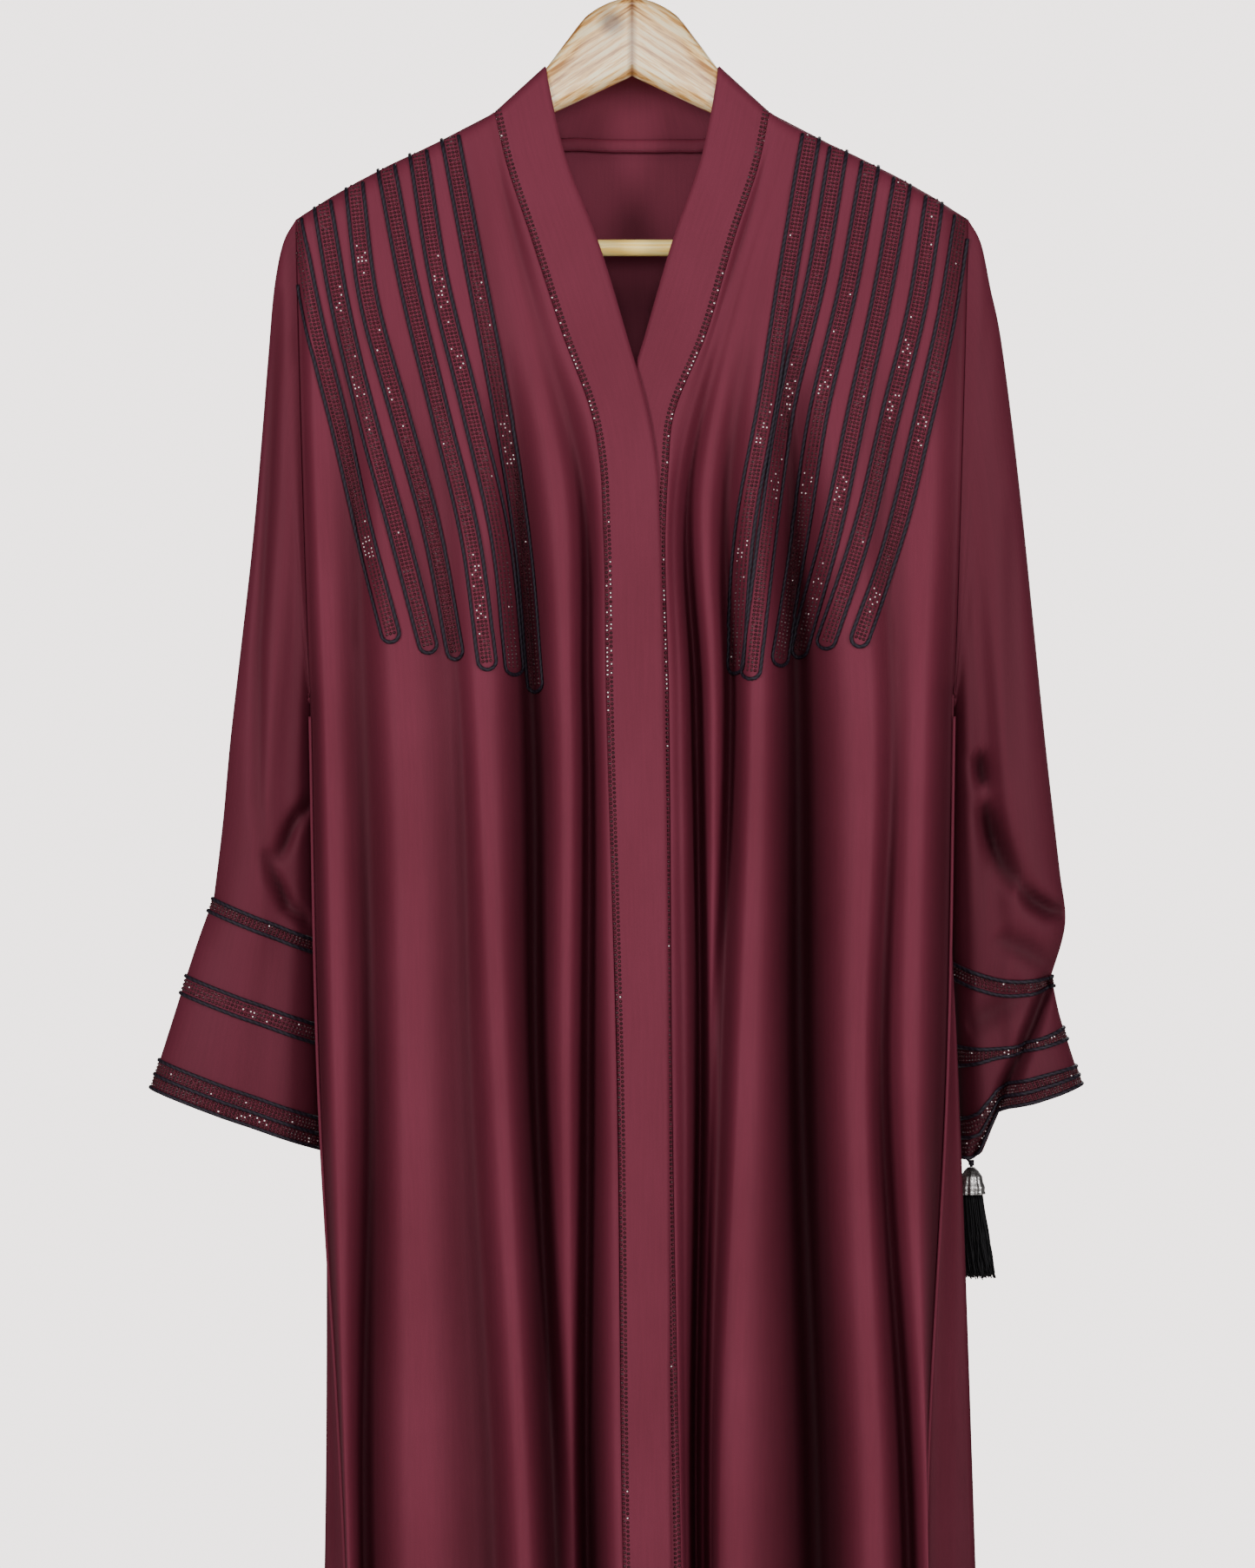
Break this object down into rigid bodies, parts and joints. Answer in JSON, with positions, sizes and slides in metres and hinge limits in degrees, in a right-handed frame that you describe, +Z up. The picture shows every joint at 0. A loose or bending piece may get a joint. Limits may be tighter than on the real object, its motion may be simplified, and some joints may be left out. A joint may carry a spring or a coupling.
{
  "type": "abaya cloak on a clothes hanger",
  "caption": "Long open-front maroon abaya cloak with beaded stripes, flared cuffs and a tassel, hanging flat on a wooden clothes hanger.",
  "frame": {"origin": "inside top of the hanger's hook, where it sits on a rail", "axes": "+Z up, +X to the viewer's right as the cloak is seen from its front, front faces -Y"},
  "size_m": [0.619, 0.116, 1.542],
  "materials": {
    "crepe_cloth": "matte",
    "rayon_cord": "satin",
    "lacquered_wood": "gloss",
    "hook_steel": "satin",
    "tassel_silver": "satin"
  },
  "bodies": {
    "root": {"back": "crepe_cloth", "front_right": "crepe_cloth", "front_left": "crepe_cloth", "sleeve_right": "crepe_cloth", "sleeve_left": "crepe_cloth", "cuff_right": "crepe_cloth", "cuff_left": "crepe_cloth", "neckband_right": "crepe_cloth", "neckband_left": "crepe_cloth", "collar_back": "crepe_cloth", "tassel_loop": "rayon_cord", "tassel_cap": "tassel_silver", "tassel_strands": "rayon_cord", "hanger_arms": "lacquered_wood", "hanger_bar": "lacquered_wood", "hanger_hook": "hook_steel"}
  },
  "joints": []
}
